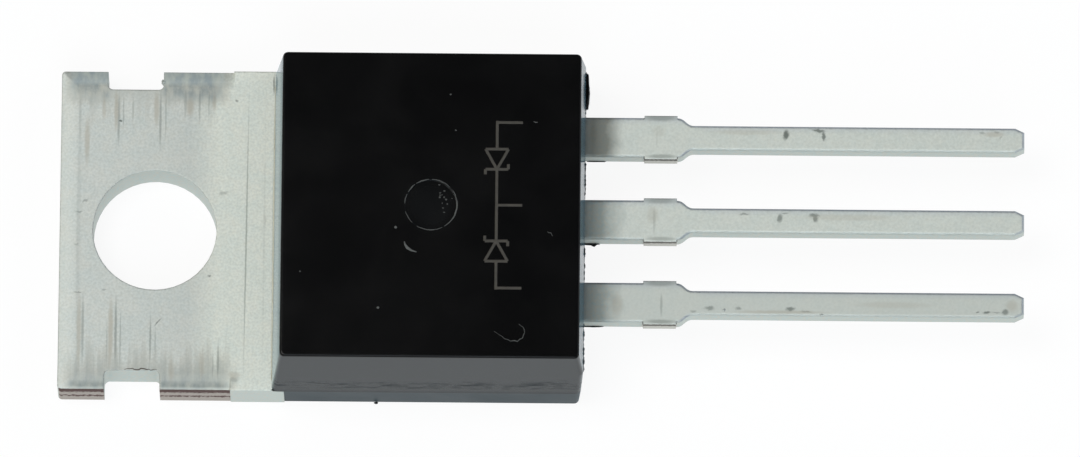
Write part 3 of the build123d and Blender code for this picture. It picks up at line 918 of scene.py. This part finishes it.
# Chips: a crescent and a few specks
chips = bmesh.new()
crescent = [(7.45, -1.14), (7.48, -1.24), (7.54, -1.33), (7.66, -1.41), (7.82, -1.46)]
add_stroke(chips, crescent, 0.10, 0.006, BODY_FRONT, 0.7)
specks = [
    (7.19, -0.70, 0.038), (6.70, -3.17, 0.038), (8.78, 3.39, 0.022), (8.94, 2.29, 0.022), (4.38, -2.08, 0.02)
]
for x, y, size in specks:
    add_lump(chips, (x, y, BODY_FRONT), (size * 1.2, size, 0.008), 0.5, 2)
add_piece("chips", chips, chipped)

# Laser-marked circuit symbol: two barrier diodes with their cathodes joined, one on each side
symbol = bmesh.new()
stroke_width = 0.10
pin_end, rail = 10.93, 10.17
half_height, base_side, tip_side = 0.34, 1.72, 1.10
barb = 0.16
strokes = [[(pin_end, 0.0), (rail, 0.0)]]
for side in (1, -1):
    strokes += [
        [(pin_end, side * LEAD_PITCH), (rail, side * LEAD_PITCH)],
        [(rail, side * (LEAD_PITCH + stroke_width / 2)), (rail, side * base_side)],
        [(rail - half_height, side * base_side), (rail + half_height, side * base_side)],
        [(rail - half_height, side * base_side), (rail, side * tip_side)],
        [(rail + half_height, side * base_side), (rail, side * tip_side)],
        [(rail - half_height, side * tip_side), (rail + half_height, side * tip_side)],
        [(rail - half_height, side * tip_side), (rail - half_height, side * (tip_side - barb))],
        [(rail + half_height, side * tip_side), (rail + half_height, side * (tip_side + barb))],
        [(rail, side * tip_side), (rail, 0.0)],
    ]
# Each stroke is a hair higher than the last, so that no two faces lie in one plane
for number, ends in enumerate(strokes):
    add_stroke(symbol, ends, stroke_width, 0.003 + 0.0002 * number, BODY_FRONT)
add_piece("circuit_symbol", symbol, laser_mark)

# Burrs that the notching punch left on the tab's front, and tin burrs there and on the leads
burrs = bmesh.new()
near_burr = [(-0.86, -4.31), (-0.62, -4.27), (-0.45, -4.31), (-0.28, -4.26), (-0.05, -4.31), (0.12, -4.30)]
add_stroke(burrs, jagged(near_burr, 0.06, 0.02, 5), 0.045, 0.008, TAB_FRONT, 0.7)
add_piece("notch_burr", burrs, sheared)
tin_burrs = bmesh.new()
add_lump(tin_burrs, (0.20, 4.56, TAB_FRONT - 0.04), (0.06, 0.09, 0.05), 0.6)
add_lump(tin_burrs, (16.93, -2.75, LEAD_FRONT), (0.05, 0.035, 0.01), 0.5, 2)
add_lump(tin_burrs, (19.81, -2.88, LEAD_FRONT), (0.05, 0.045, 0.012), 0.5, 2)
add_piece("tin_burrs", tin_burrs, finishes["header"])

# Thin line of resin bleed along the foot of the tab-end wall
bleed = bmesh.new()
add_stroke(bleed, jagged([(3.525, -4.60), (3.525, 4.45)], 0.12, 0.006, 9), 0.04, 0.002, TAB_FRONT, 0.3)
add_piece("resin_bleed", bleed, bleed_film)

# White table, and a light tent that is open over the part
TABLE_RADIUS = 6.0
TABLE_TOP = -0.02 * MM
table_mesh = bpy.data.meshes.new("white_table")
table_edge = [
    (TABLE_RADIUS * math.cos(math.radians(turn)), TABLE_RADIUS * math.sin(math.radians(turn)), TABLE_TOP)
    for turn in range(0, 360, 5)
]
table_mesh.from_pydata(table_edge, [], [tuple(range(len(table_edge)))])
table = bpy.data.objects.new("white_table", table_mesh)
bpy.context.scene.collection.objects.link(table)

paint = bpy.data.materials.new("white_table_paint")
paint.use_nodes = True
tree = paint.node_tree
tree.nodes.clear()
lit = add_node(tree, "ShaderNodeBsdfDiffuse", {"Color": linear("#f7f7f6")}).outputs[0]
path = add_node(tree, "ShaderNodeLightPath").outputs
seen = path["Is Camera Ray"]
for way in ("Is Glossy Ray", "Is Transmission Ray"):
    seen = add_node(tree, "ShaderNodeMath", {0: seen, 1: path[way]}, operation="MAXIMUM").outputs[0]
glow = add_node(tree, "ShaderNodeEmission", {"Color": linear("#ffffff"), "Strength": 1.0}).outputs[0]
# A tenth of the table is left to the lamps, which keeps the part's shadow
share = add_node(tree, "ShaderNodeMath", {0: seen, 1: 0.9}, operation="MULTIPLY").outputs[0]
surface = add_node(tree, "ShaderNodeMixShader", {0: share, 1: lit, 2: glow}).outputs[0]
add_node(tree, "ShaderNodeOutputMaterial", {"Surface": surface})
table_mesh.materials.append(paint)

world = bpy.data.worlds.new("light_tent")
bpy.context.scene.world = world
world.use_nodes = True
tree = world.node_tree
tree.nodes.clear()
looking = add_node(tree, "ShaderNodeTexCoord").outputs["Generated"]
# The tent opens where a face that looks up mirrors the camera
tent_opening = (0.0, 0.266, 0.964)
opening = add_node(
    tree, "ShaderNodeVectorMath", {0: looking, 1: tent_opening}, operation="DOT_PRODUCT"
).outputs["Value"]
cloth = add_node(
    tree,
    "ShaderNodeMapRange",
    {"Value": opening, 1: 0.90, 2: 0.72, 3: 0.02, 4: 0.4},
    interpolation_type="SMOOTHSTEP",
).outputs[0]
height = add_node(tree, "ShaderNodeSeparateXYZ", {0: looking}).outputs["Z"]
# The sweep behind the table is white up to about 15 degrees
sweep = add_node(
    tree, "ShaderNodeMapRange", {"Value": height, 1: 0.32, 2: 0.18}
).outputs[0]
level = add_node(tree, "ShaderNodeMath", {0: cloth, 1: sweep}, operation="MAXIMUM").outputs[0]
# Warm cloth on the tab's side, cool cloth on the leads' side
along = add_node(tree, "ShaderNodeSeparateXYZ", {0: looking}).outputs["X"]
cool_share = add_node(tree, "ShaderNodeMapRange", {"Value": along, 1: -0.8, 2: 0.8}).outputs[0]
cloth_colour = add_node(
    tree, "ShaderNodeMix", {0: cool_share, 6: linear("#fffbea"), 7: linear("#edf5ff")}, data_type="RGBA"
).outputs[2]
tent = add_node(tree, "ShaderNodeBackground", {"Color": cloth_colour, "Strength": level}).outputs[0]
white = add_node(tree, "ShaderNodeBackground", {"Color": linear("#ffffff"), "Strength": 1.0}).outputs[0]
seen = add_node(tree, "ShaderNodeLightPath").outputs["Is Camera Ray"]
surround = add_node(tree, "ShaderNodeMixShader", {0: seen, 1: tent, 2: white}).outputs[0]
add_node(tree, "ShaderNodeOutputWorld", {"Surface": surround})

# Soft lamps round the part, in metres
LAMP_DISTANCE = 0.5
PART_MIDDLE = Vector((11.5 * MM, 0, 0))


def add_softbox(name, azimuth, elevation, size, watts, tint):
    """A square lamp of a size in metres that faces the part from an azimuth and an elevation, in degrees."""
    lamp = bpy.data.lights.new(name, "AREA")
    lamp.shape = "SQUARE"
    lamp.size = size
    lamp.energy = watts
    lamp.color = linear(tint)[:3]
    holder = bpy.data.objects.new(name, lamp)
    turn, lift = math.radians(azimuth), math.radians(elevation)
    away = Vector((math.cos(turn) * math.cos(lift), math.sin(turn) * math.cos(lift), math.sin(lift)))
    holder.location = PART_MIDDLE + away * LAMP_DISTANCE
    holder.rotation_mode = "QUATERNION"
    holder.rotation_quaternion = away.to_track_quat("Z", "Y")
    holder.visible_camera = False
    bpy.context.scene.collection.objects.link(holder)


add_softbox("softbox_tab_side", 180, 72, 0.22, 1.25, "#fffefc")
add_softbox("softbox_lead_side", 0, 35, 0.30, 0.5, "#f3f8ff")
add_softbox("softbox_near_side", -90, 50, 0.30, 0.9, "#e6f2ff")

# Camera, fitted to edges measured in the photograph: 0.6 m off, leaning towards the near side
PHOTO_WIDTH = 1080
PIXELS_PER_MM = 33.6395
CAMERA_DISTANCE = 600
SENSOR_WIDTH = 36
tilt, turn, roll = (math.radians(angle) for angle in (15.4051, -0.2059, -0.5458))
about_y = Matrix(((math.cos(turn), 0, math.sin(turn)), (0, 1, 0), (-math.sin(turn), 0, math.cos(turn))))
about_x = Matrix(((1, 0, 0), (0, math.cos(tilt), math.sin(tilt)), (0, -math.sin(tilt), math.cos(tilt))))
about_z = Matrix(((math.cos(roll), -math.sin(roll), 0), (math.sin(roll), math.cos(roll), 0), (0, 0, 1)))
to_part = (about_z @ about_x @ about_y).transposed()
aim = Vector((11.4925, 0, 1.3)) + to_part @ Vector((-0.0409, 0.1424, 0))
camera_data = bpy.data.cameras.new("camera")
camera_data.sensor_width = SENSOR_WIDTH
camera_data.lens = SENSOR_WIDTH * PIXELS_PER_MM * CAMERA_DISTANCE / PHOTO_WIDTH
camera_data.clip_start = 0.05
camera_data.clip_end = 50
camera = bpy.data.objects.new("camera", camera_data)
camera.rotation_mode = "QUATERNION"
camera.rotation_quaternion = to_part.to_quaternion()
camera.location = (aim + to_part @ Vector((0, 0, CAMERA_DISTANCE))) * MM
bpy.context.scene.collection.objects.link(camera)
bpy.context.scene.camera = camera
bpy.context.scene.view_settings.view_transform = "Standard"

bpy.context.view_layer.update()
